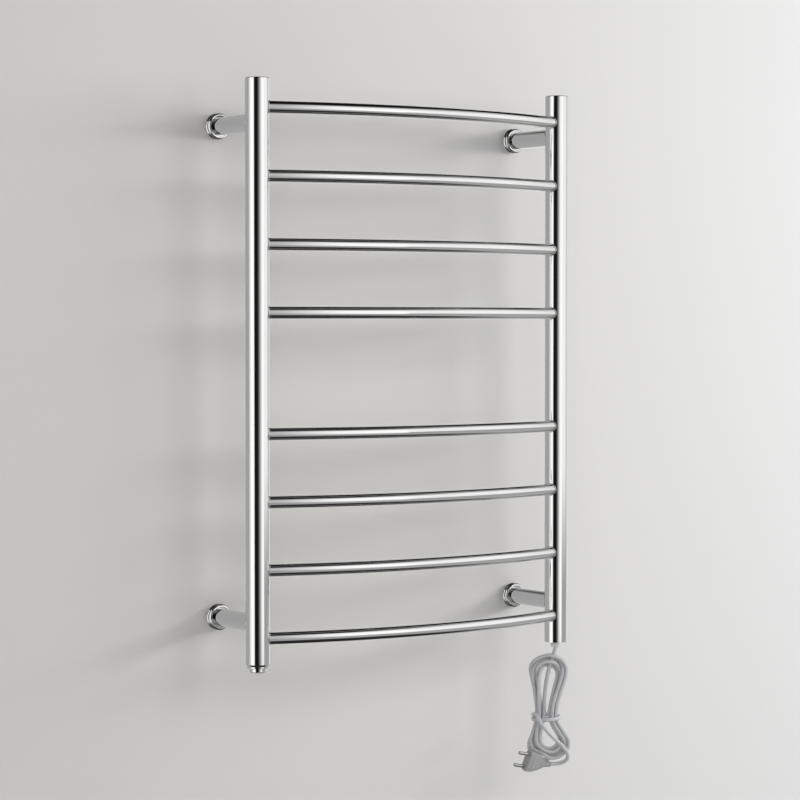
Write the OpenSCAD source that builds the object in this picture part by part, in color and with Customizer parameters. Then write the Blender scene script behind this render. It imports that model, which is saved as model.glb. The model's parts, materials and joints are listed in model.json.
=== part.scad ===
// Wall-mounted electric towel warmer: two round posts, eight bowed rungs, four wall standoffs.
// X runs along the wall, Y points into the wall, Z is up.
// The origin is the middle of the four wall screws, on the wall's surface.

/* [Posts] */
// Outside diameter of each post
post_d = 32; // [28:1:36]
// Wall thickness of the post tube
post_wall = 1.5; // [1.2:0.1:2]
// Height of the posts
post_len = 776; // [760:2:800]
// Distance between the two post axes
post_span = 500; // [440:10:560]
// Distance from the wall to the post axes
post_to_wall = 105; // [95:1:130]

/* [Rungs] */
// Outside diameter of each rung
rung_d = 16; // [14:0.5:18]
// Wall thickness of the rung tube
rung_wall = 1.2; // [1:0.1:1.5]
// Centre distance of neighbouring rungs in a bank
rung_pitch = 90; // [84:1:92]
// Centre distance across the wide gap between the two banks
rung_gap = 160; // [140:2:164]
// How far the middle of a rung bows out in front of the posts
rung_bow = 45; // [30:1:55]

/* [Standoffs] */
// Outside diameter of the standoff tubes
standoff_d = 24; // [22:0.5:25]
// Height of the standoffs above and below the middle
standoff_z = 330; // [322:1:334]
// Outside diameter of the sliding cover rings
ring_d = 35; // [34:0.5:38]
// Length of a cover ring along its tube
ring_len = 12; // [10:0.5:14]
// Diameter of the hole for a wall screw
screw_hole_d = 5.5; // [5:0.1:6]

/* [Heater] */
// Length of the heating rod inside the right post
rod_len = 240; // [180:10:300]
// Diameter of the heating rod's sheath
rod_d = 10; // [9:0.5:11]
// Turns of the heating wire
coil_turns = 14; // [8:1:18]

/* [Cord] */
// Diameter of the mains cord
cord_d = 5.6; // [5:0.1:6]
// Diameter of the plug's pins
pin_d = 4.8; // [4:0.1:4.8]
// Length of the plug's pins
pin_len = 19; // [18:0.5:19]
// Distance between the plug's pins
pin_gap = 19; // [18.6:0.1:19]

/* [Hidden] */
$fn = 64;

// Shared radii and levels
post_r = post_d / 2;
post_bore_r = post_r - post_wall;
rung_r = rung_d / 2;
rung_bore_r = rung_r - rung_wall;
top_z = post_len / 2;
bottom_z = -post_len / 2;
left_x = -post_span / 2;
right_x = post_span / 2;
post_y = -post_to_wall;
edge_round = 1.2;
cap_t = 3;

// The rungs' shared arc, seen from above
arc_r = (post_span * post_span / 4 + rung_bow * rung_bow) / (2 * rung_bow);
arc_y = post_y - rung_bow + arc_r;
arc_half = asin(post_span / 2 / arc_r);

// Standoffs, their inserts, and the wall bases inside them
standoff_r = standoff_d / 2;
standoff_bore_r = standoff_r - 1.5;
base_r = 14;
base_t = 3;
spigot_r = 7;
spigot_len = 18;
slide_fit = 0.05;
tube_end_y = -4;
insert_len = 16;
grub_r = 2;
ring_gap = 0.3;
recess_r = base_r + 0.4;

// Bottom end of the left post
cap_h = 4.8;
fill_r = 11;
fill_head = 6.4;
fill_thread_r = 7;

// Heating rod and terminal chamber in the right post, as levels above the post's lower end
boss_low = 96;
boss_t = 16;
sheath_r = rod_d / 2;
core_r = 2;
fill_in_r = 3.3;
coil_r = 2.65;
coil_wire_r = 0.35;
rod_dip = 6;
bush_t = 8;
bush_bore_r = 6.5;
wire_r = 1.1;
link_r = 0.9;
pin_x = 2;
terminal_r = 0.7;
terminal_len = 14;
crimp_r = 1.7;

// Cord, hank and plug
cord_r = cord_d / 2;
relief_drop = 8.4;
relief_len = 24;
tail_top = 36;
// Route of the cord from the strain relief's mouth into the hank
LEAD_ROUTE = [[250, -105, -396], [249, -104, -401], [248, -103, -406], [246, -101, -413]];
// The hank is an upper lobe, a neck, the two turns wrapped round it and a lower lobe
hank_y = -100.5;
lobe_x = 241;
lobe_top = -399;
lobe_r = 17;
lobe_half = 27;
neck_x = 239.5;
neck_half = 10;
neck_depth = 21;
wrap_x = 236.5;
wrap_z = -492;
wrap_half = 22.5;
wrap_h = 24;
low_x = 245;
low_r = 26.5;
low_end = -569.5;
plug_face = [207.5, -92, -556.5];
plug_roll = 18;
plug_pitch = 13;
plug_len = 31;
plug_half = 15.5;
plug_t = 15;
plug_tail = 13;
plug_gap = 0.4;
tail_r = 5.6;

rung_levels = [for (side = [1, -1]) for (i = [0:3])
    side > 0 ? rung_gap / 2 + (3 - i) * rung_pitch : -rung_gap / 2 - i * rung_pitch];

// ---------- helpers ----------

// Turns a part drawn along +Z so that it points away from the wall
module from_wall() {
    rotate([90, 0, 0]) children();
}

// Places a standoff part at one of the four corners: side is -1 or 1, level is 1 or -1
module corner(side, level) {
    translate([side * post_span / 2, 0, level * standoff_z]) children();
}

// Every corner at once
module all_corners() {
    for (side = [-1, 1])
        for (level = [1, -1])
            corner(side, level) children();
}

module tube(outer, inner, length) {
    difference() {
        cylinder(r = outer, h = length);
        translate([0, 0, -1]) cylinder(r = inner, h = length + 2);
    }
}

// Points of an arc in a profile, from one angle to another
function arc(cx, cz, r, from, to, n = 8) =
    [for (i = [0:n]) [cx + r * cos(from + (to - from) * i / n), cz + r * sin(from + (to - from) * i / n)]];

// Round wire or cord swept along a list of points; across is a direction it never runs along
function unit(v) = v / norm(v);
function heading(p, i) = unit(p[min(i + 1, len(p) - 1)] - p[max(i - 1, 0)]);
function ring_at(p, i, r, n, across) =
    let (h = heading(p, i), a = unit(cross(h, across)), b = cross(h, a))
    [for (k = [0:n - 1]) p[i] + r * (a * cos(360 * k / n) + b * sin(360 * k / n))];

module swept(p, r, n = 8, across = [0, 1, 0]) {
    rings = len(p);
    points = [for (i = [0:rings - 1]) each ring_at(p, i, r, n, across)];
    walls = [for (i = [0:rings - 2]) for (k = [0:n - 1]) each [
        [i * n + k, i * n + (k + 1) % n, (i + 1) * n + (k + 1) % n],
        [i * n + k, (i + 1) * n + (k + 1) % n, (i + 1) * n + k]]];
    start = [for (k = [n - 1:-1:0]) k];
    end = [for (k = [0:n - 1]) (rings - 1) * n + k];
    polyhedron(points = points, faces = concat([start], walls, [end]));
}

// A point inside the right post, given from its axis and its lower end
function in_post(x, y, level) = [right_x + x, post_y + y, bottom_z + level];

module in_right_post(level) {
    translate([right_x, post_y, bottom_z + level]) children();
}

// ---------- frame ----------

// Opens the post's wall where a rung's water way joins it
module rung_ports(x, level_z, side) {
    translate([x, post_y, level_z])
        rotate([0, 0, side * arc_half])
            rotate([0, -side * 90, 0])
                cylinder(r = rung_bore_r, h = post_r + 4, $fn = 48);
}

module post_tube(x, low_z, side) {
    difference() {
        translate([x, post_y, 0])
            rotate_extrude()
                polygon(concat(
                    [[post_bore_r, low_z], [post_r, low_z]],
                    arc(post_r - edge_round, top_z - edge_round, edge_round, 0, 90),
                    [[post_bore_r, top_z]]));
        for (z = rung_levels)
            rung_ports(x, z, side);
    }
}

module left_post() {
    color("silver") post_tube(left_x, bottom_z + cap_h, -1);
}

module right_post() {
    color("silver") post_tube(right_x, bottom_z, 1);
}

module top_cap(x) {
    color("silver")
        translate([x, post_y, top_z - cap_t - 0.3])
            cylinder(r = post_bore_r, h = cap_t);
}

module left_top_cap() {
    top_cap(left_x);
}

module right_top_cap() {
    top_cap(right_x);
}

// Tapered end piece with a spigot in the tube and a thread for the fill plug
module left_bottom_cap() {
    color("silver")
        translate([left_x, post_y, bottom_z])
            difference() {
                union() {
                    rotate_extrude()
                        polygon(concat(
                            [[0, cap_h], [0, 0], [fill_r + 1.2, 0]],
                            arc(fill_r + 1.2, 2, 2, -90, -38),
                            [[post_r, cap_h]]));
                    cylinder(r = post_bore_r, h = cap_h + 9);
                }
                translate([0, 0, -1]) cylinder(r = fill_thread_r, h = cap_h + 20);
            }
}

// Round-headed plug, with a hexagon socket, that closes the fill port
module fill_plug() {
    color("gainsboro")
        translate([left_x, post_y, bottom_z])
            difference() {
                rotate_extrude()
                    polygon(concat(
                        [[0, 12], [0, -fill_head]],
                        arc(fill_r - 1.6, 1.6 - fill_head, 1.6, -90, 0),
                        [[fill_r, -1], [fill_thread_r, -1], [fill_thread_r, 12]]));
                translate([0, 0, -fill_head - 1]) cylinder(r = 3.5, h = 5, $fn = 6);
            }
}

module plug_seal() {
    color("dimgray")
        translate([left_x, post_y, bottom_z - 1])
            tube(fill_r - 0.8, fill_thread_r, 1);
}

module right_bottom_bush() {
    color("silver") in_right_post(0) tube(post_bore_r, bush_bore_r, bush_t);
}

// One bowed rung, cut to the two posts' round walls
module rung(index) {
    color("silver")
        difference() {
            translate([0, arc_y, rung_levels[index - 1]])
                rotate([0, 0, -90 - arc_half])
                    rotate_extrude(angle = 2 * arc_half, $fn = 720)
                        translate([arc_r, 0])
                            difference() {
                                circle(r = rung_r, $fn = 48);
                                circle(r = rung_bore_r, $fn = 48);
                            }
            for (x = [left_x, right_x])
                translate([x, post_y, rung_levels[index - 1] - rung_d])
                    cylinder(r = post_r, h = 2 * rung_d);
        }
}

// ---------- standoffs ----------

module standoff(side, level) {
    color("silver")
        corner(side, level)
            difference() {
                translate([0, tube_end_y, 0])
                    from_wall() tube(standoff_r, standoff_bore_r, post_to_wall);
                translate([0, post_y, -standoff_d]) cylinder(r = post_r, h = 2 * standoff_d);
                translate([0, post_y - 2 * post_d, 0]) cube([3 * post_d, 4 * post_d, 3 * post_d], center = true);
                grub_hole();
            }
}

// Radial hole for a grub screw, from below
module grub_hole() {
    translate([0, tube_end_y - insert_len / 2, -standoff_r - 1])
        cylinder(r = grub_r, h = standoff_r - spigot_r + 2, $fn = 32);
}

// Threaded ring pressed into the wall end of a standoff
module insert(side, level) {
    color("gray")
        corner(side, level)
            difference() {
                translate([0, tube_end_y, 0])
                    from_wall() tube(standoff_bore_r, spigot_r + slide_fit, insert_len);
                grub_hole();
            }
}

module grub_screws() {
    color("dimgray")
        all_corners()
            translate([0, tube_end_y - insert_len / 2, -standoff_r + 0.2])
                difference() {
                    cylinder(r = grub_r, h = standoff_r - spigot_r - 0.4, $fn = 32);
                    translate([0, 0, -1]) cylinder(r = 1, h = 3, $fn = 6);
                }
}

// Sliding cover ring: two rounded ridges, a groove between them, and a dished front
module cover_ring(side, level) {
    ridge = ring_len / 4;
    outer = ring_d / 2;
    bore = standoff_r + slide_fit;
    color("silver")
        corner(side, level)
            translate([0, -ring_gap, 0])
                from_wall()
                    rotate_extrude()
                        polygon(concat(
                            [[bore, base_t + 1], [recess_r, base_t + 1], [recess_r, 0]],
                            arc(outer - ridge, ridge, ridge, -90, 62),
                            arc(outer - ridge, ring_len - ridge, ridge, -62, 90),
                            [[outer - ridge - 0.6, ring_len], [bore + 1.6, ring_len - 2.2]],
                            [[bore + 1.4, ring_len - 0.5], [bore, ring_len - 0.5]]));
}

// Disc and spigot screwed to the wall, with a countersunk hole for the wall screw
module wall_base(side, level) {
    color("lightgray")
        corner(side, level)
            from_wall()
                difference() {
                    union() {
                        cylinder(r = base_r, h = base_t);
                        cylinder(r = spigot_r, h = base_t + spigot_len);
                    }
                    translate([0, 0, -1]) cylinder(d = screw_hole_d, h = base_t + spigot_len + 2);
                    translate([0, 0, base_t + spigot_len - 2.6])
                        cylinder(r1 = screw_hole_d / 2, r2 = 5.4, h = 2.65);
                }
}

// ---------- heater ----------

// Brass boss that seals the fluid space off from the terminal chamber
module element_boss() {
    color("goldenrod")
        in_right_post(boss_low)
            difference() {
                rotate_extrude()
                    polygon([
                        [sheath_r, 0], [post_bore_r, 0], [post_bore_r, 6], [post_bore_r - 2, 6],
                        [post_bore_r - 2, 8.6], [post_bore_r, 8.6], [post_bore_r, boss_t],
                        [sheath_r, boss_t]]);
                translate([0, -9.6, -1]) cylinder(r = 1.5, h = 9, $fn = 32);
            }
}

module boss_seal() {
    color("black") in_right_post(boss_low + 6.1) tube(post_bore_r, post_bore_r - 1.9, 2.4);
}

// Closed tube of the heating rod; the open end is at the boss
module heater_sheath() {
    color("lightsteelblue")
        in_right_post(boss_low - rod_dip)
            difference() {
                union() {
                    cylinder(r = sheath_r, h = rod_len - sheath_r);
                    translate([0, 0, rod_len - sheath_r]) sphere(r = sheath_r);
                }
                translate([0, 0, -1]) cylinder(r = sheath_r - 0.7, h = rod_len - sheath_r + 1);
            }
}

module magnesia_fill() {
    color("white") in_right_post(boss_low - rod_dip) tube(sheath_r - 0.7, fill_in_r, rod_len - sheath_r - 1);
}

module ceramic_core() {
    color("ivory")
        in_right_post(boss_low - rod_dip + 4)
            cylinder(r = core_r, h = rod_len - 20);
}

// Heating wire wound on the core
module heating_coil() {
    steps = 10;
    rise = rod_len - 40;
    turn_points = [for (i = [0:coil_turns * steps])
        in_post(
            coil_r * cos(360 * i / steps),
            coil_r * sin(360 * i / steps),
            boss_low + 10 + rise * i / (coil_turns * steps))];
    color("dimgray") swept(turn_points, coil_wire_r, 4, [0, 0, 1]);
}

module terminal_pins() {
    color("lightgray")
        for (side = [-1, 1])
            in_right_post(boss_low - rod_dip - terminal_len + 3)
                translate([side * pin_x, 0, 0]) cylinder(r = terminal_r, h = terminal_len - 0.5);
}

module crimp_sleeves() {
    color("silver")
        for (side = [-1, 1])
            in_right_post(boss_low - rod_dip - terminal_len)
                translate([side * pin_x, 0, 0]) tube(crimp_r, terminal_r, 9);
}

// Disc thermostat against the post's wall, with two tags
module thermostat() {
    color("tan")
        in_right_post(58)
            translate([0, 12, 0]) {
                from_wall() cylinder(r = 7.6, h = 6.4);
                for (side = [-1, 1])
                    translate([side * 4 - 0.4, -11, -2]) cube([0.8, 5, 4]);
            }
}

module thermal_fuse() {
    color("whitesmoke")
        in_right_post(54)
            translate([-6, -4, 0]) {
                cylinder(r = 2, h = 12);
                translate([0, 0, -4]) cylinder(r = 0.6, h = 20);
            }
}

module live_lead() {
    color("saddlebrown")
        swept([
            in_post(1.5, 0.9, tail_top), in_post(1.9, 0.8, 40), in_post(3.2, 0.3, 45),
            in_post(4, 0, 50), in_post(4, 0, 56)], wire_r);
}

module neutral_lead() {
    color("steelblue")
        swept([
            in_post(-1.5, 0.9, tail_top), in_post(-2, 0.4, 39.5), in_post(-4, -2, 44.5),
            in_post(-6, -4, 50)], wire_r);
}

module earth_lead() {
    color("yellowgreen")
        swept([
            in_post(0, -1.6, tail_top), in_post(0.3, -3, 41), in_post(1.2, -6, 48),
            in_post(0.6, -9, 60), in_post(0, -12.2, 82), in_post(0, -12.6, 88)], wire_r);
}

// From the thermostat and from the fuse up to the crimped terminals
module link_leads() {
    color("firebrick") {
        swept([
            in_post(-4, 0, 60), in_post(-3.4, -0.3, 64), in_post(-0.8, -1, 68),
            in_post(1.6, -0.6, 72), in_post(2, 0, 76)], link_r);
        swept([
            in_post(-6, -4, 70), in_post(-5, -3.4, 71.6), in_post(-2.8, -1.2, 74),
            in_post(-2, 0, 76)], link_r);
    }
}

module earth_tag() {
    color("silver")
        in_right_post(boss_low - 0.8)
            translate([0, -9.6, 0])
                difference() {
                    union() {
                        cylinder(r = 3.4, h = 0.8);
                        translate([-1.4, -3.4, -7.2]) cube([2.8, 0.7, 8]);
                    }
                    translate([0, 0, -1]) cylinder(r = 1.5, h = 3, $fn = 32);
                }
}

module earth_screw() {
    color("goldenrod")
        in_right_post(boss_low - 0.8)
            translate([0, -9.6, 0]) {
                cylinder(r = 1.5, h = 8.5, $fn = 32);
                translate([0, 0, -1.6]) cylinder(r = 2.6, h = 1.6);
            }
}

// Plastic ring that grips the cord inside the chamber
module cord_grip() {
    color("white")
        in_right_post(24)
            difference() {
                tube(post_bore_r - 0.2, cord_r, 9);
                for (side = [-1, 1])
                    translate([side * (cord_r + 0.5), 0, 4.5])
                        rotate([0, side * 90, 0]) cylinder(r = 1.5, h = 20, $fn = 32);
            }
}

module grip_screws() {
    color("dimgray")
        for (side = [-1, 1])
            in_right_post(28.5)
                translate([side * (cord_r + 0.5), 0, 0])
                    rotate([0, side * 90, 0]) cylinder(r = 1.5, h = 9, $fn = 32);
}

// Soft gland: a domed mouth below the post, a neck in the bush and a flange above it
module strain_relief() {
    color("gainsboro")
        in_right_post(0)
            rotate_extrude()
                polygon(concat(
                    [[cord_r, relief_len - relief_drop], [cord_r, -relief_drop]],
                    [[cord_r + 1.2, -relief_drop]],
                    arc(cord_r + 1.2, 3.4 - relief_drop, 3.4, -90, -20),
                    [[7.3, -3.4], [7.3, 0], [bush_bore_r, 0], [bush_bore_r, bush_t]],
                    [[8.6, bush_t], [8.6, bush_t + 2], [4.2, relief_len - relief_drop]]));
}

module cord_tail() {
    color("gainsboro")
        in_right_post(-relief_drop)
            cylinder(r = cord_r, h = tail_top + relief_drop, $fn = 32);
}

// ---------- cord and plug ----------

module cord_lead() {
    color("gainsboro") swept(LEAD_ROUTE, cord_r, 12);
}

// Outline of the hank from the front
module hank_front() {
    polygon(concat(
        arc(lobe_x, lobe_top - lobe_r, lobe_r, 0, 180, 16),
        [[neck_x - neck_half, wrap_z + wrap_h]],
        [[wrap_x - wrap_half, wrap_z + wrap_h / 2], [wrap_x - wrap_half, wrap_z - wrap_h / 2]],
        arc(low_x, low_end + low_r, low_r, 180, 360, 20),
        [[wrap_x + wrap_half, wrap_z - wrap_h / 2], [wrap_x + wrap_half, wrap_z + wrap_h / 2]],
        [[neck_x + neck_half, wrap_z + wrap_h]]));
}

// One side of the hank's outline from the side, as [distance from its middle, height]
function hank_flank() = [
    [lobe_half / 2, lobe_top], [lobe_half, lobe_top - lobe_r], [lobe_half, lobe_top - 3 * lobe_r],
    [neck_depth, wrap_z + wrap_h],
    [wrap_half, wrap_z + wrap_h / 2], [wrap_half, wrap_z - wrap_h / 2],
    [wrap_half, low_end + low_r], [wrap_half / 2, low_end]
];

module hank_side() {
    flank = hank_flank();
    last = len(flank) - 1;
    polygon(concat(flank, [for (i = [last:-1:0]) [-flank[i][0], flank[i][1]]]));
}

module cord_hank() {
    color("gainsboro")
        difference() {
            intersection() {
                translate([0, hank_y + lobe_half, 0])
                    from_wall() linear_extrude(2 * lobe_half) hank_front();
                translate([wrap_x - 2 * wrap_half, hank_y, 0])
                    rotate([90, 0, 90]) linear_extrude(4 * wrap_half) hank_side();
            }
            plug_place() plug_room();
        }
}

module plug_place() {
    translate(plug_face)
        rotate([0, plug_pitch, 0])
            rotate([plug_roll, 0, 0]) children();
}

// Outline of the plug's body seen flat: full width at the pins, drawn in towards the tail
module plug_outline() {
    shoulder = plug_half * 0.62;
    polygon([
        [0, -plug_half], [plug_len * 0.45, -plug_half], [plug_len * 0.8, -shoulder], [plug_len, -tail_r],
        [plug_len, tail_r], [plug_len * 0.8, shoulder], [plug_len * 0.45, plug_half], [0, plug_half]]);
}

// Space that the plug fills, where the hank's strands pass round it
module plug_room() {
    room_t = plug_t + 2 * plug_gap;
    translate([0, room_t / 2, 0])
        from_wall() linear_extrude(room_t) offset(delta = plug_gap) plug_outline();
    rotate([0, 90, 0]) cylinder(r = tail_r + plug_gap, h = plug_len + plug_tail);
}

module plug_body() {
    color("gainsboro")
        plug_place() {
            translate([0, plug_t / 2, 0])
                from_wall() linear_extrude(plug_t) plug_outline();
            translate([plug_len, 0, 0])
                rotate([0, 90, 0]) cylinder(r1 = tail_r, r2 = cord_r + 0.5, h = plug_tail);
        }
}

module plug_pins() {
    color("silver")
        plug_place()
            for (side = [-1, 1])
                translate([0, 0, side * pin_gap / 2])
                    rotate([0, -90, 0]) {
                        cylinder(d = pin_d, h = pin_len - pin_d / 2, $fn = 48);
                        translate([0, 0, pin_len - pin_d / 2]) sphere(d = pin_d, $fn = 48);
                    }
}

// ---------- assembly ----------

left_post();
right_post();
left_top_cap();
right_top_cap();
left_bottom_cap();
fill_plug();
plug_seal();
right_bottom_bush();
rung(1);  // rung_1
rung(2);  // rung_2
rung(3);  // rung_3
rung(4);  // rung_4
rung(5);  // rung_5
rung(6);  // rung_6
rung(7);  // rung_7
rung(8);  // rung_8
standoff(-1, 1);  // standoff_top_left
standoff(1, 1);  // standoff_top_right
standoff(-1, -1);  // standoff_bottom_left
standoff(1, -1);  // standoff_bottom_right
insert(-1, 1);  // insert_top_left
insert(1, 1);  // insert_top_right
insert(-1, -1);  // insert_bottom_left
insert(1, -1);  // insert_bottom_right
grub_screws();
cover_ring(-1, 1);  // cover_ring_top_left
cover_ring(1, 1);  // cover_ring_top_right
cover_ring(-1, -1);  // cover_ring_bottom_left
cover_ring(1, -1);  // cover_ring_bottom_right
wall_base(-1, 1);  // wall_base_top_left
wall_base(1, 1);  // wall_base_top_right
wall_base(-1, -1);  // wall_base_bottom_left
wall_base(1, -1);  // wall_base_bottom_right
element_boss();
boss_seal();
heater_sheath();
magnesia_fill();
ceramic_core();
heating_coil();
terminal_pins();
crimp_sleeves();
thermostat();
thermal_fuse();
live_lead();
neutral_lead();
earth_lead();
link_leads();
earth_tag();
earth_screw();
cord_grip();
grip_screws();
strain_relief();
cord_tail();
cord_lead();
cord_hank();
plug_body();
plug_pins();
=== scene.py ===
"""Looks for a wall-mounted ladder towel warmer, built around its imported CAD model. Units are metres."""

import json
import math

import bpy
import numpy as np
from mathutils import Matrix, Vector


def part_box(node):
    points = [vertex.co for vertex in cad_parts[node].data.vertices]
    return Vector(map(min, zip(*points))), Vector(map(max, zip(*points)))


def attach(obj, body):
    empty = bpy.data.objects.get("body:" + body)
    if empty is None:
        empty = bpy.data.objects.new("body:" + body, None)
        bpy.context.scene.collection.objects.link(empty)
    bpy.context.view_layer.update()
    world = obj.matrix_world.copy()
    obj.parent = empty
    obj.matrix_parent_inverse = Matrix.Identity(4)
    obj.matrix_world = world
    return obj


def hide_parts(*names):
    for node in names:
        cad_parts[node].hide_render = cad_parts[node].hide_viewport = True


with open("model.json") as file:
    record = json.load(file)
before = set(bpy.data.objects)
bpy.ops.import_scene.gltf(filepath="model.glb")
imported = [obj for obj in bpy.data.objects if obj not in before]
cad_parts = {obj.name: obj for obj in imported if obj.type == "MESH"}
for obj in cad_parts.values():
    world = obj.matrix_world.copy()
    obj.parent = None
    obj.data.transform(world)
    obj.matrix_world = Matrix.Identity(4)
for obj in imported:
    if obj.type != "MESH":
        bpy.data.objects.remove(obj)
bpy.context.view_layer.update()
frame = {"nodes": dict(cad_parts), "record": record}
NODES = frame["nodes"]
MM = 0.001



def node_centre(name):
    low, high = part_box(name)
    return (Vector(low) + Vector(high)) / 2


# ---------- camera ----------

CAMERA_PLACE = (-2.0786, -3.0475, 0.0677)
CAMERA_HEADING = math.radians(34.961)
CAMERA_DIP = math.radians(1.697)
CAMERA_LENS = 118.4


def make_camera():
    data = bpy.data.cameras.new("camera")
    data.lens = CAMERA_LENS
    data.sensor_width = 36
    data.clip_end = 60
    camera = bpy.data.objects.new("camera", data)
    camera.location = CAMERA_PLACE
    camera.rotation_euler = (math.pi / 2 - CAMERA_DIP, 0, -CAMERA_HEADING)
    bpy.context.scene.collection.objects.link(camera)
    bpy.context.scene.camera = camera


# ---------- node helpers ----------


def new_material(name):
    """A material, its node tree's maker and its Principled shader."""
    material = bpy.data.materials.new(name)
    material.use_nodes = True
    tree = material.node_tree
    return material, tree, tree.nodes["Principled BSDF"]


def add_node(tree, kind, inputs=None, **settings):
    made = tree.nodes.new(kind)
    for key, value in settings.items():
        setattr(made, key, value)
    for key, value in (inputs or {}).items():
        if hasattr(value, "is_output"):
            tree.links.new(value, made.inputs[key])
        else:
            made.inputs[key].default_value = value
    return made


def ramp(tree, value, stops):
    made = add_node(tree, "ShaderNodeValToRGB", {"Fac": value})
    elements = made.color_ramp.elements
    while len(elements) < len(stops):
        elements.new(0.5)
    for element, (place, colour) in zip(elements, stops):
        element.position = place
        element.color = (*colour, 1) if hasattr(colour, "__len__") else (colour, colour, colour, 1)
    return made.outputs["Color"]


def noise(tree, vector, scale, detail=2.0, roughness=0.5):
    return add_node(
        tree,
        "ShaderNodeTexNoise",
        {"Vector": vector, "Scale": scale, "Detail": detail, "Roughness": roughness},
    ).outputs["Fac"]


def object_coords(tree):
    return add_node(tree, "ShaderNodeTexCoord").outputs["Object"]


def bump(tree, shader, height, distance, strength=1.0):
    made = add_node(tree, "ShaderNodeBump", {"Height": height, "Distance": distance, "Strength": strength})
    tree.links.new(made.outputs["Normal"], shader.inputs["Normal"])


def spread(tree, value, low, high):
    return add_node(
        tree, "ShaderNodeMapRange", {"Value": value, "To Min": low, "To Max": high}
    ).outputs["Result"]


def tint(tree, factor, first, second):
    made = add_node(tree, "ShaderNodeMix", {"Factor": factor}, data_type="RGBA")
    made.inputs["A"].default_value = (*first, 1)
    made.inputs["B"].default_value = (*second, 1)
    return made.outputs["Result"]


def stretched(tree, scale):
    return add_node(
        tree, "ShaderNodeMapping", {"Vector": object_coords(tree), "Scale": scale}
    ).outputs["Vector"]


# ---------- materials ----------


def metal(name, dark, light, rough, grain=(40, 40, 3), grain_depth=0.000002, smear=6.0):
    """Metal with faint drawn lines, smears in its gloss and a slight change of tone."""
    material, tree, shader = new_material(name)
    shader.inputs["Metallic"].default_value = 1
    vector = object_coords(tree)
    clouds = noise(tree, vector, smear, 3)
    lines = noise(tree, stretched(tree, grain), 14, 4, 0.6)
    tree.links.new(tint(tree, clouds, dark, light), shader.inputs["Base Color"])
    mixed = add_node(tree, "ShaderNodeMath", {0: clouds, 1: lines}, operation="ADD").outputs["Value"]
    tree.links.new(spread(tree, mixed, rough[0], rough[1]), shader.inputs["Roughness"])
    bump(tree, shader, lines, grain_depth, 0.25)
    return material


def plastic(name, dark, light, rough, grain=900.0, depth=0.00004, mottle=14.0):
    """Moulded plastic with a fine texture and a slight mottle."""
    material, tree, shader = new_material(name)
    vector = object_coords(tree)
    tree.links.new(tint(tree, noise(tree, vector, mottle, 3), dark, light), shader.inputs["Base Color"])
    fine = noise(tree, vector, grain, 2)
    tree.links.new(spread(tree, fine, rough[0], rough[1]), shader.inputs["Roughness"])
    bump(tree, shader, fine, depth, 0.4)
    return material


def striped_wire():
    """Green insulation with yellow stripes along it."""
    material, tree, shader = new_material("green_wire")
    bands = add_node(
        tree, "ShaderNodeTexWave", {"Vector": object_coords(tree), "Scale": 90.0, "Distortion": 0.6}
    )
    tree.links.new(
        ramp(tree, bands.outputs["Fac"], [(0.42, (0.10, 0.34, 0.08)), (0.58, (0.72, 0.62, 0.06))]),
        shader.inputs["Base Color"],
    )
    fine = noise(tree, object_coords(tree), 1200, 2)
    tree.links.new(spread(tree, fine, 0.32, 0.5), shader.inputs["Roughness"])
    bump(tree, shader, fine, 0.00002, 0.3)
    return material


def pale_gland():
    """Milky, slightly see-through moulding."""
    material = plastic("relief_plastic", (0.86, 0.86, 0.85), (0.92, 0.92, 0.91), (0.18, 0.34), 500.0, 0.00003)
    shader = material.node_tree.nodes["Principled BSDF"]
    shader.inputs["Transmission Weight"].default_value = 0.25
    shader.inputs["Subsurface Weight"].default_value = 0.35
    shader.inputs["Subsurface Radius"].default_value = (0.004, 0.004, 0.0036)
    shader.inputs["Subsurface Scale"].default_value = 0.5
    return material


def soft_pvc(name, dark, light, rough):
    """Soft PVC with a satin skin, faint grime clouds and a fine grain."""
    material = plastic(name, dark, light, rough, 1400.0, 0.00003, 30.0)
    shader = material.node_tree.nodes["Principled BSDF"]
    shader.inputs["Subsurface Weight"].default_value = 0.15
    shader.inputs["Subsurface Radius"].default_value = (0.002, 0.002, 0.0018)
    shader.inputs["Coat Weight"].default_value = 0.2
    shader.inputs["Coat Roughness"].default_value = 0.3
    return material


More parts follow.
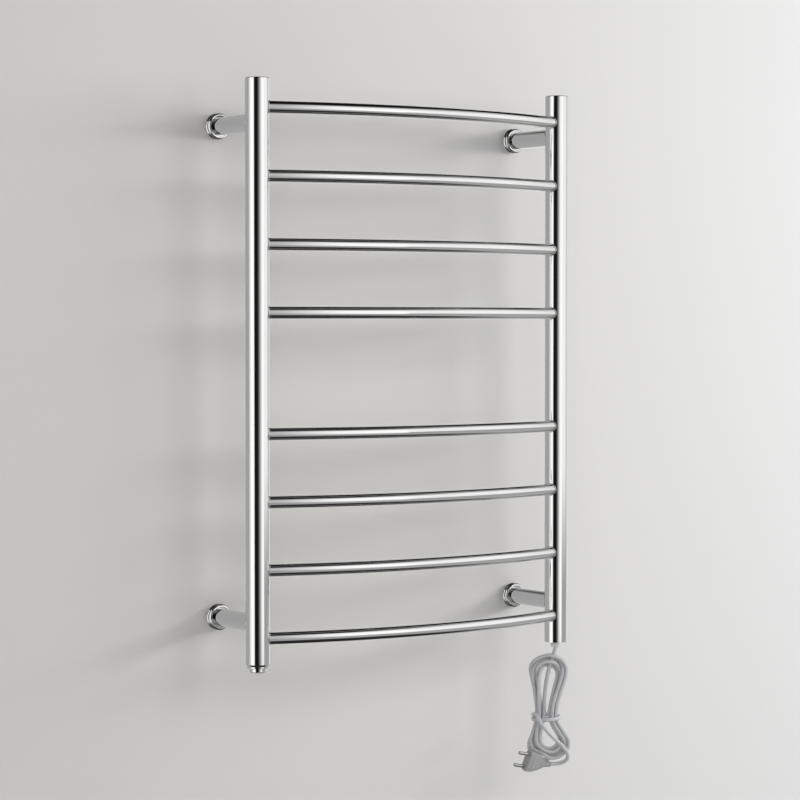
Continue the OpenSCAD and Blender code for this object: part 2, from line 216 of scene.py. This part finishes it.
def make_looks():
    """One material for each slot of the record."""
    turned = {"grain": (3, 3, 60), "grain_depth": 0.000004}
    return {
        "polished_steel": metal("polished_steel", (0.60, 0.60, 0.595), (0.66, 0.66, 0.655), (0.035, 0.085)),
        "machined_steel": metal(
            "machined_steel", (0.50, 0.50, 0.49), (0.60, 0.60, 0.59), (0.22, 0.36), **turned
        ),
        "black_steel": metal("black_steel", (0.035, 0.035, 0.038), (0.07, 0.07, 0.07), (0.38, 0.55)),
        "brass": metal("brass", (0.66, 0.47, 0.20), (0.78, 0.58, 0.28), (0.16, 0.34), **turned),
        "seal_rubber": plastic("seal_rubber", (0.018, 0.018, 0.018), (0.035, 0.035, 0.034), (0.55, 0.75)),
        "ceramic": plastic("ceramic", (0.80, 0.78, 0.72), (0.88, 0.86, 0.80), (0.6, 0.8), 700.0, 0.00008),
        "resistance_wire": metal("resistance_wire", (0.22, 0.20, 0.19), (0.36, 0.33, 0.31), (0.4, 0.6)),
        "tinned_metal": metal("tinned_metal", (0.62, 0.62, 0.60), (0.74, 0.74, 0.72), (0.26, 0.42)),
        "thermostat_body": plastic("thermostat_body", (0.30, 0.17, 0.08), (0.42, 0.26, 0.13), (0.35, 0.5)),
        "brown_wire": plastic("brown_wire", (0.16, 0.07, 0.03), (0.22, 0.11, 0.05), (0.32, 0.48)),
        "blue_wire": plastic("blue_wire", (0.04, 0.13, 0.42), (0.07, 0.20, 0.52), (0.32, 0.48)),
        "green_wire": striped_wire(),
        "inner_plastic": plastic("inner_plastic", (0.66, 0.66, 0.63), (0.76, 0.76, 0.73), (0.35, 0.55)),
        "relief_plastic": pale_gland(),
        "cord_pvc": soft_pvc("cord_pvc", (0.50, 0.50, 0.505), (0.60, 0.60, 0.60), (0.34, 0.5)),
        "plug_plastic": soft_pvc("plug_plastic", (0.32, 0.32, 0.325), (0.40, 0.40, 0.40), (0.36, 0.52)),
        "nickel_pin": metal("nickel_pin", (0.52, 0.51, 0.48), (0.62, 0.60, 0.56), (0.14, 0.26)),
    }


def plaster():
    material, tree, shader = new_material("wall_plaster_painted_light")
    vector = object_coords(tree)
    # Painted light: the wall's colour runs from darker and warmer at the left to lighter at the right,
    # standing in for shade and light from the lamps on the right.
    across = add_node(tree, "ShaderNodeSeparateXYZ", {"Vector": vector}).outputs["X"]
    tone = add_node(
        tree, "ShaderNodeMapRange", {"Value": across, "From Min": -1.2, "From Max": 1.2}
    ).outputs["Result"]
    colour = ramp(tree, tone, [(0, WALL_LEFT_PAINTED_SHADE), (1, WALL_RIGHT_PAINTED_LIGHT)])
    tree.links.new(colour, shader.inputs["Base Color"])
    shader.inputs["Roughness"].default_value = 0.85
    bump(tree, shader, noise(tree, vector, 260, 4), 0.0002, 0.3)
    see_through_from_behind(tree, shader)
    return material


def see_through_from_behind(tree, shader):
    clear = add_node(tree, "ShaderNodeBsdfTransparent")
    back = add_node(tree, "ShaderNodeNewGeometry").outputs["Backfacing"]
    mix = add_node(tree, "ShaderNodeMixShader", {"Fac": back, 1: shader.outputs[0], 2: clear.outputs[0]})
    tree.links.new(mix.outputs[0], tree.nodes["Material Output"].inputs["Surface"])


# Ends of the wall's painted light: painted shade at the left end, painted light at the right end.
WALL_LEFT_PAINTED_SHADE = (0.645, 0.618, 0.575)
WALL_RIGHT_PAINTED_LIGHT = (0.70, 0.70, 0.697)


def paint(obj, material):
    obj.data.materials.clear()
    obj.data.materials.append(material)


# ---------- stage ----------

WALL_Y = 0.0012
WALL_HALF = 2.6
WALL_HEIGHT = 2.4
FLOOR_Z = -1.25
FLOOR_DEPTH = 5.0


def quad(name, corners, material):
    mesh = bpy.data.meshes.new(name)
    mesh.from_pydata([tuple(c) for c in corners], [], [(0, 1, 2, 3)])
    obj = bpy.data.objects.new(name, mesh)
    mesh.materials.append(material)
    bpy.context.scene.collection.objects.link(obj)
    return obj


def make_stage():
    top = FLOOR_Z + WALL_HEIGHT * 1.25
    wall = quad(
        "stage_wall",
        [
            (-WALL_HALF, WALL_Y, FLOOR_Z), (WALL_HALF, WALL_Y, FLOOR_Z),
            (WALL_HALF, WALL_Y, top), (-WALL_HALF, WALL_Y, top),
        ],
        plaster(),
    )
    floor_paint, tree, shader = new_material("stage_floor")
    tree.links.new(
        tint(tree, noise(tree, object_coords(tree), 3, 3), (0.70, 0.70, 0.69), (0.76, 0.76, 0.75)),
        shader.inputs["Base Color"],
    )
    shader.inputs["Roughness"].default_value = 0.8
    floor = quad(
        "stage_floor",
        [
            (-WALL_HALF, -FLOOR_DEPTH, FLOOR_Z),
            (WALL_HALF, -FLOOR_DEPTH, FLOOR_Z),
            (WALL_HALF, WALL_Y, FLOOR_Z),
            (-WALL_HALF, WALL_Y, FLOOR_Z),
        ],
        floor_paint,
    )
    floor.visible_glossy = False
    wall.visible_glossy = False
    return wall, floor


def multiply(tree, first, second):
    made = add_node(tree, "ShaderNodeMix", data_type="RGBA", blend_type="MULTIPLY")
    made.inputs["Factor"].default_value = 1
    tree.links.new(first, made.inputs["A"])
    tree.links.new(second, made.inputs["B"])
    return made.outputs["Result"]


def card(name, start, end, low, high, along, upward):
    """Upright glowing card seen only in reflections, with its strength in stops along it and up it."""
    material = bpy.data.materials.new(name)
    material.use_nodes = True
    tree = material.node_tree
    tree.nodes.clear()
    spot = add_node(tree, "ShaderNodeTexCoord").outputs["UV"]
    place = add_node(tree, "ShaderNodeSeparateXYZ", {"Vector": spot})
    glow = multiply(tree, ramp(tree, place.outputs["X"], along), ramp(tree, place.outputs["Y"], upward))
    light = add_node(tree, "ShaderNodeEmission", {"Color": glow, "Strength": CARD_POWER})
    tree.links.new(light.outputs[0], add_node(tree, "ShaderNodeOutputMaterial").inputs["Surface"])
    made = quad(name, [(*start, low), (*end, low), (*end, high), (*start, high)], material)
    corners = made.data.uv_layers.new(name="along_and_up").data
    for corner, place in zip(corners, ((0, 0), (1, 0), (1, 1), (0, 1))):
        corner.uv = place
    for way in ("camera", "diffuse", "transmission", "shadow", "volume_scatter"):
        setattr(made, "visible_" + way, False)
    return made


CARD_POWER = 1.6
EVEN = [(0, 1), (1, 1)]
TALL = [(0, 0.33), (0.08, 1), (0.40, 1), (0.62, 0.5), (0.84, 0.05), (1, 0.02)]
RAISED = [(0, 0.36), (0.05, 1), (0.37, 1), (0.6, 0.52), (0.84, 0.05), (1, 0.02)]
# Corners of the cards that stand round the rack, from its left side round to its right
LEFT_BACK = (-2.05, 0.95)
LEFT_FRONT = (-1.98, -1.105)
FRONT_LEFT = (-2.25, -3.57)
FRONT_RIGHT = (1.75, -3.40)
RIGHT_FRONT = (3.03, -1.855)
RIGHT_SIDE = (3.5, -0.105)
RIGHT_BACK = (1.9, 2.9)


def make_cards():
    left = [(0, 0.3), (0.035, 0.43), (0.11, 0.85), (0.23, 1), (0.45, 1), (0.65, 0.86), (0.77, 0.6), (1, 0.45)]
    front = [(0, 0.005), (0.08, 0.028), (0.3, 0.17), (0.5, 0.55), (0.7, 0.93), (1, 1)]
    card("stage_card_left", LEFT_FRONT, LEFT_BACK, -1.6, 1.6, left, EVEN)
    card("stage_card_dark", LEFT_FRONT, FRONT_LEFT, -1.6, 2.4, [(0, 0.006), (1, 0.006)], EVEN)
    card("stage_card_front", FRONT_LEFT, FRONT_RIGHT, -1.3, 6.0, front, TALL)
    card("stage_card_step", FRONT_RIGHT, RIGHT_FRONT, -0.65, 6.0, [(0, 0.95), (0.3, 0.83), (1, 0.87)], RAISED)
    right_tones = [(0, 0.86), (0.5, 0.76), (0.9, 0.5), (1, 0.48)]
    card("stage_card_right", RIGHT_FRONT, RIGHT_SIDE, -0.65, 6.0, right_tones, RAISED)
    card("stage_card_back", RIGHT_SIDE, RIGHT_BACK, -1.0, 0.8, [(0, 0.48), (0.3, 0.6), (1, 0.66)], EVEN)


def make_world():
    """Soft daylight for matt surfaces; polished ones see a grey floor and a dark ceiling that starts
    higher on the wall's side."""
    world = bpy.data.worlds.new("studio")
    bpy.context.scene.world = world
    world.use_nodes = True
    tree = world.node_tree
    tree.nodes.clear()
    heading = add_node(tree, "ShaderNodeTexCoord").outputs["Generated"]
    way = add_node(tree, "ShaderNodeSeparateXYZ", {"Vector": heading})
    wall_side = ramp(tree, way.outputs["Y"], CEILING_STEPS)
    lowered = add_node(
        tree, "ShaderNodeMath", {0: way.outputs["Z"], 1: wall_side}, operation="SUBTRACT"
    ).outputs[0]
    ceiling = add_node(
        tree,
        "ShaderNodeMapRange",
        {"Value": lowered, "From Min": -0.03, "From Max": 0.03, "To Min": 1, "To Max": 0.02},
    ).outputs["Result"]
    height = add_node(
        tree, "ShaderNodeMapRange", {"Value": way.outputs["Z"], "From Min": -1.0, "From Max": 0.0}
    ).outputs["Result"]
    floor_tone = ramp(tree, height, [(0.0, 0.03), (0.25, 0.035), (0.36, 0.56), (1.0, 0.52)])
    mirror = multiply(tree, floor_tone, ceiling)
    soft = add_node(tree, "ShaderNodeBackground", {"Color": (0.93, 0.95, 1.0, 1), "Strength": SKY_POWER})
    seen = add_node(tree, "ShaderNodeBackground", {"Color": mirror, "Strength": 1.0})
    glossy = add_node(tree, "ShaderNodeLightPath").outputs["Is Glossy Ray"]
    mix = add_node(tree, "ShaderNodeMixShader", {"Fac": glossy, 1: soft.outputs[0], 2: seen.outputs[0]})
    tree.links.new(mix.outputs[0], add_node(tree, "ShaderNodeOutputWorld").inputs["Surface"])


# How far the dark ceiling starts above the horizon, by how squarely the ray runs into the wall
CEILING_STEPS = [(0, 0), (0.08, 0.14), (0.5, 0.16), (0.8, 0.62)]
SKY_POWER = 0.46


def area_light(name, place, target, size, power, colour=(1, 1, 1)):
    data = bpy.data.lights.new(name, "AREA")
    data.shape = "RECTANGLE"
    data.size, data.size_y = size
    data.energy = power
    data.color = colour
    lamp = bpy.data.objects.new(name, data)
    lamp.location = place
    lamp.rotation_euler = (Vector(target) - Vector(place)).to_track_quat("-Z", "Y").to_euler()
    lamp.visible_glossy = False
    bpy.context.scene.collection.objects.link(lamp)


def make_lights():
    area_light("key", (1.03, -2.45, 0.86), (0, 0, 0), (1.4, 1.1), 18, (1.0, 0.99, 0.97))
    area_light("side", (2.7, -1.35, 0.55), (0, 0, 0), (2.4, 0.45), 48, (1.0, 1.0, 1.0))
    area_light("fill", (-1.6, -3.2, 0.6), (0, 0, -0.1), (2.4, 2.4), 16, (0.98, 0.985, 1.0))


# ---------- cord ----------

CORD_D = 5.6 * MM
CORD_STEP = 3.0 * MM
STRAND_GAP = 5.75 * MM
HANK_BEND = 16.5 * MM
HELD_ENDS = 3

# The cord where it isn't wound, in millimetres: down from the strain relief to the waist
LEAD_ROUTE = [
    (250, -105, -396), (249, -104, -401), (248, -103, -406), (246, -101, -413), (242, -97, -433),
    (239, -94, -462),
]
# and over the front of the hank from its last wrap to the plug
PLUG_ROUTE = [
    (217, -100, -489), (217, -110, -499), (225, -119, -514), (240, -123, -529), (255, -122, -541),
    (265, -115, -552), (269, -105, -561), (266, -97, -566), (259, -93, -566), (250, -92, -566),
]

# The hank in millimetres. Each turn's folds are a little wider and deeper than the last one's
FOLDS = 5
FOLD_STEPS = 7
HANK_Y = -99
WAIST_X, WAIST_Z = 238, -495
WAIST_SPREAD, WAIST_STAGGER = 3, 5.5
WAIST_DEPTH, WAIST_DEPTH_GROWS = 3.0, 2.6
FOLD_DEPTH, FOLD_DEPTH_GROWS = 7, 3.6
FOLD_BULGE = 3.0
LOW_X, LOW_END, LOW_R = 245, -543, 14.5
LOW_END_STEP, LOW_R_GROWS = -4.5, 2.0
TOP_X, TOP_END, TOP_R = 242, -420, 13
TOP_END_STEP, TOP_R_GROWS = 4.5, 1.8
LAST_FOLD_DEPTH = 2
WRAP_R, WRAPS, WRAP_START, WRAP_RISE, WRAP_STEPS = 18.5, 1.42, 0.14, 10, 18
WRAP_BELOW_WAIST = 7


def fold(middle, radius, half_turn_from, depth_from, depth_to, bulge):
    """Round end of a turn: half a circle seen from the front, which crosses the hank's depth.

    Bulge moves its middle aside, so that it passes clear of the next turn's.
    """
    points = []
    for k in range(FOLD_STEPS + 1):
        share = k / FOLD_STEPS
        angle = math.pi * (half_turn_from + share)
        depth = depth_from + (depth_to - depth_from) * share + bulge * math.sin(math.pi * share)
        across, up = radius * math.cos(angle), radius * math.sin(angle)
        points.append((middle[0] + across, HANK_Y + depth, middle[1] + up))
    return points


def hank_turns():
    """Down at the back, round the fold below, up in front and over the fold above, turn after turn."""
    points = []
    for turn in range(FOLDS):
        last = turn == FOLDS - 1
        bulge = FOLD_BULGE * (-1) ** turn
        low_r, top_r = LOW_R + LOW_R_GROWS * turn, TOP_R + TOP_R_GROWS * turn
        depth = FOLD_DEPTH + FOLD_DEPTH_GROWS * turn
        waist_depth = WAIST_DEPTH + WAIST_DEPTH_GROWS * turn
        waist_side = WAIST_SPREAD + WAIST_STAGGER * (turn % 2)
        points.append((WAIST_X - waist_side, HANK_Y + waist_depth, WAIST_Z))
        low = (LOW_X, LOW_END + LOW_END_STEP * turn + low_r)
        points += fold(low, low_r, 1, depth, LAST_FOLD_DEPTH if last else -depth, bulge)
        if not last:
            points.append((WAIST_X + waist_side, HANK_Y - waist_depth, WAIST_Z))
            top = (TOP_X, TOP_END + TOP_END_STEP * turn - top_r)
            points += fold(top, top_r, 0, -depth, depth, bulge)
    return points


def waist_wraps():
    """The cord's own end, wound round the waist as a tie."""
    points = []
    for k in range(WRAP_STEPS + 1):
        share = k / WRAP_STEPS
        angle = math.pi * (WRAP_START + 2 * WRAPS * share)
        height = WAIST_Z - WRAP_BELOW_WAIST + WRAP_RISE * share
        points.append((WAIST_X + WRAP_R * math.cos(angle), HANK_Y + WRAP_R * math.sin(angle), height))
    return points


def cord_route():
    return np.array(LEAD_ROUTE + hank_turns() + waist_wraps() + PLUG_ROUTE) * MM


def smooth_line(points, step):
    """Points every step metres along a smooth curve through the given ones."""
    p = np.array(points, float)
    p = np.vstack([2 * p[0] - p[1], p, 2 * p[-1] - p[-2]])
    share = np.linspace(0, 1, 12, endpoint=False)[:, None]
    line = []
    for a, b, c, d in zip(p, p[1:], p[2:], p[3:]):
        before, here, after = (np.linalg.norm(end - start) ** 0.5 for start, end in ((a, b), (b, c), (c, d)))
        leave = (c - b) + here * ((b - a) / before - (c - a) / (before + here))
        arrive = (c - b) + here * ((d - c) / after - (d - b) / (here + after))
        line.append(
            (2 * share**3 - 3 * share**2 + 1) * b
            + (share**3 - 2 * share**2 + share) * leave
            + (3 * share**2 - 2 * share**3) * c
            + (share**3 - share**2) * arrive
        )
    line = np.vstack(line + [p[-2:-1]])
    run = np.r_[0, np.cumsum(np.linalg.norm(np.diff(line, axis=0), axis=1))]
    places = np.linspace(0, run[-1], int(round(run[-1] / step)) + 1)
    return np.stack([np.interp(places, run, line[:, k]) for k in range(3)], axis=1)


def line_length(line):
    return float(np.linalg.norm(np.diff(line, axis=0), axis=1).sum())


def close_strands(line, reach, apart):
    """Index pairs of points on different strands that lie within reach of each other."""
    far = np.linalg.norm(line[:, None] - line[None], axis=2)
    index = np.arange(len(line))
    return np.where((far < reach) & (index[None] - index[:, None] > apart))


def open_bends(line, step):
    """Move that opens every bend tighter than the cord takes."""
    move = np.zeros_like(line)
    for span in (2, 4, 6):
        sag = (line[: -2 * span] + line[2 * span :]) / 2 - line[span:-span]
        depth = np.linalg.norm(sag, axis=1)[:, None]
        sag *= np.maximum(0, depth - (span * step) ** 2 / (2 * HANK_BEND)) / (depth + 1e-9) * 0.3
        move[span:-span] += sag
        move[: -2 * span] -= sag / 2
        move[2 * span :] -= sag / 2
    return move


def part_strands(line, pairs):
    """Move that pushes strands until they lie a diameter apart."""
    first, second = pairs
    away = line[first] - line[second]
    far = np.linalg.norm(away, axis=1)
    away *= (np.maximum(0, STRAND_GAP - far) / (far + 1e-9) / 2)[:, None]
    touching = np.tile(far < STRAND_GAP, 2)
    hits = np.bincount(np.r_[first, second], touching, len(line))
    move = np.zeros_like(line)
    np.add.at(move, first, away)
    np.add.at(move, second, -away)
    return move / np.maximum(1, np.sqrt(hits))[:, None]


def clear_plug(line):
    """Move that pushes strands off the plug's body."""
    move = np.zeros_like(line)
    for along, radius in PLUG_GIRTH:
        away = line - np.array(plug_point(along, 0, 0))
        far = np.linalg.norm(away, axis=1)[:, None]
        move += away * np.maximum(0, radius + CORD_D / 2 - far) / far / 2
    return move


def even_steps(line, step):
    """Move that keeps the points one step apart, since a cord doesn't stretch."""
    gap = np.diff(line, axis=0)
    gap *= (1 - step / np.linalg.norm(gap, axis=1)[:, None]) * 0.35
    move = np.zeros_like(line)
    move[:-1] += gap
    move[1:] -= gap
    return move


def settle(line, rounds=400):
    """Let the hank's strands find their places against each other, the wraps and the plug."""
    route, step = line.copy(), line_length(line) / (len(line) - 1)
    free = np.ones((len(line), 1))
    free[:HELD_ENDS] = free[-HELD_ENDS:] = 0
    loose = free.copy()
    loose[-3 * HELD_ENDS :] = 0
    for turn in range(rounds):
        if turn % 12 == 0:
            pairs = close_strands(line, STRAND_GAP + 3.5 * MM, int(4 * CORD_D / step))
        line = line + open_bends(line, step) * free
        line = line + part_strands(line, pairs) * free
        line = line + clear_plug(line) * loose
        line[1:-1] += 0.1 * ((line[:-2] + line[2:]) / 2 - line[1:-1]) * free[1:-1]
        line = line + 0.02 * (route - line) * free * (1.0 if turn < 0.7 * rounds else 0.3)
        for _ in range(5):
            line = line + even_steps(line, step) * free
    return line


def tube_along(name, line, radius, material):
    """Round cord as a curve of one open spline."""
    curve = bpy.data.curves.new(name, "CURVE")
    curve.dimensions = "3D"
    curve.bevel_depth = radius
    curve.bevel_resolution = 6
    curve.use_fill_caps = True
    spline = curve.splines.new("POLY")
    spline.points.add(len(line) - 1)
    for point, place in zip(spline.points, line):
        point.co = (*place, 1)
    spline.use_smooth = True
    obj = bpy.data.objects.new(name, curve)
    curve.materials.append(material)
    bpy.context.scene.collection.objects.link(obj)
    return obj


# ---------- plug ----------

PLUG_FACE = Vector((0.2075, -0.092, -0.5565))
PLUG_TURN = Matrix.Rotation(math.radians(13), 3, "Y") @ Matrix.Rotation(math.radians(18), 3, "X")
PLUG_END = 44 * MM
# Distance behind the pins' face and the radius that strands keep off there
# Distance behind the plug's face, and the radius that the cord keeps clear there
PLUG_GIRTH = [
    (5 * MM, 13 * MM), (13 * MM, 13 * MM), (19 * MM, 12.5 * MM),
    (25 * MM, 11 * MM), (31 * MM, 8.5 * MM), (37 * MM, 6.5 * MM),
]


def plug_point(along, thick, wide):
    """Place in the model's frame of a point given in the plug's own directions."""
    return PLUG_FACE + PLUG_TURN @ Vector((along, thick, wide))


def mesh_object(name, points, faces, material, smooth=True):
    mesh = bpy.data.meshes.new(name)
    mesh.from_pydata([tuple(p) for p in points], [], faces)
    mesh.validate()
    for polygon in mesh.polygons:
        polygon.use_smooth = smooth
    obj = bpy.data.objects.new(name, mesh)
    mesh.materials.append(material)
    bpy.context.scene.collection.objects.link(obj)
    return obj


def superellipse(half_thick, half_wide, power, count):
    """Points round a section that is rounder the nearer its power is to 2."""
    ring = []
    for k in range(count):
        angle = 2 * math.pi * k / count
        c, s = math.cos(angle), math.sin(angle)
        thick = half_thick * math.copysign(abs(c) ** (2 / power), c)
        wide = half_wide * math.copysign(abs(s) ** (2 / power), s)
        ring.append((thick, wide))
    return ring


def loft(name, sections, count, material):
    """Closed skin over sections given as (distance, half thickness, half width, power)."""
    points, faces = [], []
    for along, thick, wide, power in sections:
        points += [plug_point(along, a, b) for a, b in superellipse(thick, wide, power, count)]
    for row in range(len(sections) - 1):
        for k in range(count):
            a, b = row * count + k, row * count + (k + 1) % count
            faces.append((a, b, b + count, a + count))
    last = (len(sections) - 1) * count
    faces.append(tuple(range(count))[::-1])
    faces.append(tuple(range(last, last + count)))
    return mesh_object(name, points, faces, material)


def plug_sections():
    """The plug's shell: flat face, waisted grip, drawn-in neck and a ribbed tail."""
    body = [
        (0.0, 4.6, 12.6, 4), (0.0, 5.9, 13.9, 4), (0.25, 6.6, 14.6, 4), (0.9, 7.2, 15.2, 4),
        (2.0, 7.45, 15.45, 4),
        (5.0, 7.45, 15.45, 4), (5.4, 7.05, 15.05, 4), (6.2, 7.05, 15.05, 4), (6.6, 7.4, 15.4, 4),
        (10.0, 7.2, 15.3, 3.6), (14.0, 6.7, 14.6, 3.4), (18.0, 6.3, 13.1, 3.2), (22.0, 6.2, 11.2, 3),
        (25.5, 6.3, 9.2, 2.7), (28.5, 6.2, 7.4, 2.4), (31.0, 5.5, 5.9, 2.1),
    ]
    sections = [(x * MM, thick * MM, wide * MM, power) for x, thick, wide, power in body]
    ribs = 5
    first, last = sections[-1][0], PLUG_END
    pitch = (last - first) / ribs
    for rib in range(ribs):
        for share, lift in ((0.12, -0.35), (0.38, -0.35), (0.5, 0.0), (0.88, 0.0)):
            along = first + (rib + share) * pitch
            radius = (5.5 - 1.9 * (along - first) / (last - first) + lift) * MM
            sections.append((along, radius, radius, 2))
    sections.append((last, 3.0 * MM, 3.0 * MM, 2))
    return sections


def make_cord(looks):
    line = settle(smooth_line(cord_route(), CORD_STEP))
    cord = tube_along("mains_cord", line, CORD_D / 2, looks["cord_pvc"])
    shell = loft("plug_shell", plug_sections(), 56, looks["plug_plastic"])
    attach(cord, "rack")
    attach(shell, "rack")
    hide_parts("cord_lead", "cord_hank")
    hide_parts("plug_body")


# ---------- welds ----------

POST_R = 16 * MM
RUNG_R = 8 * MM
STANDOFF_R = 12 * MM
RUNG_BOW = 45 * MM
WELD_R = 0.9 * MM
WELD_STEPS = 72
WELD_SIDES = 12
WELD_RIPPLE = 0.12
SEAM_TURN = 0.5
SEAM_HALVINGS = 40
RIPPLES = 23


def post_axis(side):
    """Where a post's axis crosses the plan, for its side of the rack."""
    post = node_centre("left_post" if side < 0 else "right_post")
    return post.x, post.y


def rung_point(centre_z, half_span, post_y, turn, angle):
    """Point on a rung's skin: turn goes along the bow, angle round the tube."""
    radius = (half_span**2 + RUNG_BOW**2) / (2 * RUNG_BOW)
    out = radius + RUNG_R * math.cos(angle)
    middle_y = post_y - RUNG_BOW + radius
    height = centre_z + RUNG_R * math.sin(angle)
    return Vector((out * math.sin(turn), middle_y - out * math.cos(turn), height))


def rung_seam(centre_z, side):
    """Loop where a rung's skin runs into a post's skin."""
    axis = post_axis(side)
    half_span = abs(axis[0])
    loop = []
    for k in range(WELD_STEPS):
        angle = 2 * math.pi * k / WELD_STEPS
        near, far = 0.0, side * SEAM_TURN
        for _ in range(SEAM_HALVINGS):
            middle = (near + far) / 2
            point = rung_point(centre_z, half_span, axis[1], middle, angle)
            inside = math.hypot(point.x - axis[0], point.y - axis[1]) < POST_R or abs(point.x) > half_span
            near, far = (near, middle) if inside else (middle, far)
        loop.append(rung_point(centre_z, half_span, axis[1], near, angle))
    return loop


def standoff_seam(centre_z, side):
    """Loop where a standoff's skin runs into the back of a post."""
    axis = post_axis(side)
    loop = []
    for k in range(WELD_STEPS):
        angle = 2 * math.pi * k / WELD_STEPS
        across = STANDOFF_R * math.cos(angle)
        back = math.sqrt(POST_R**2 - across**2)
        loop.append(Vector((axis[0] + across, axis[1] + back, centre_z + STANDOFF_R * math.sin(angle))))
    return loop


def weld_bead(name, loop, material):
    """Rippled fillet of weld metal round a closed seam."""
    around, points, faces = WELD_SIDES, [], []
    centre = sum(loop, Vector()) / len(loop)
    for k, place in enumerate(loop):
        along = (loop[(k + 1) % len(loop)] - loop[k - 1]).normalized()
        out = (place - centre).normalized()
        out = (out - along * out.dot(along)).normalized()
        up = along.cross(out)
        size = WELD_R * (1 + WELD_RIPPLE * math.sin(2 * math.pi * RIPPLES * k / len(loop)))
        for j in range(around):
            angle = 2 * math.pi * j / around
            points.append(place + size * (math.cos(angle) * out + math.sin(angle) * up))
    for k in range(len(loop)):
        for j in range(around):
            a, b = k * around + j, k * around + (j + 1) % around
            c = (k + 1) % len(loop) * around
            faces.append((a, b, c + (j + 1) % around, c + j))
    bead = mesh_object(name, points, faces, material)
    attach(bead, "rack")


def make_welds(looks):
    bead_look = metal("weld_metal", (0.52, 0.52, 0.51), (0.62, 0.61, 0.59), (0.12, 0.24))
    for side, word in ((-1, "left"), (1, "right")):
        for number in range(1, 9):
            seam = rung_seam(node_centre(f"rung_{number}").z, side)
            weld_bead(f"weld_rung_{number}_{word}", seam, bead_look)
        for level in ("top", "bottom"):
            seam = standoff_seam(node_centre(f"standoff_{level}_{word}").z, side)
            weld_bead(f"weld_standoff_{level}_{word}", seam, bead_look)


# ---------- make everything ----------

bpy.context.scene.view_settings.view_transform = "Standard"
make_camera()
wall, floor = make_stage()
make_cards()
make_world()
make_lights()

looks = make_looks()
for part in frame["record"]["subparts"]:
    paint(NODES[part["node"]], looks[part["material_slot"]])
make_cord(looks)
make_welds(looks)
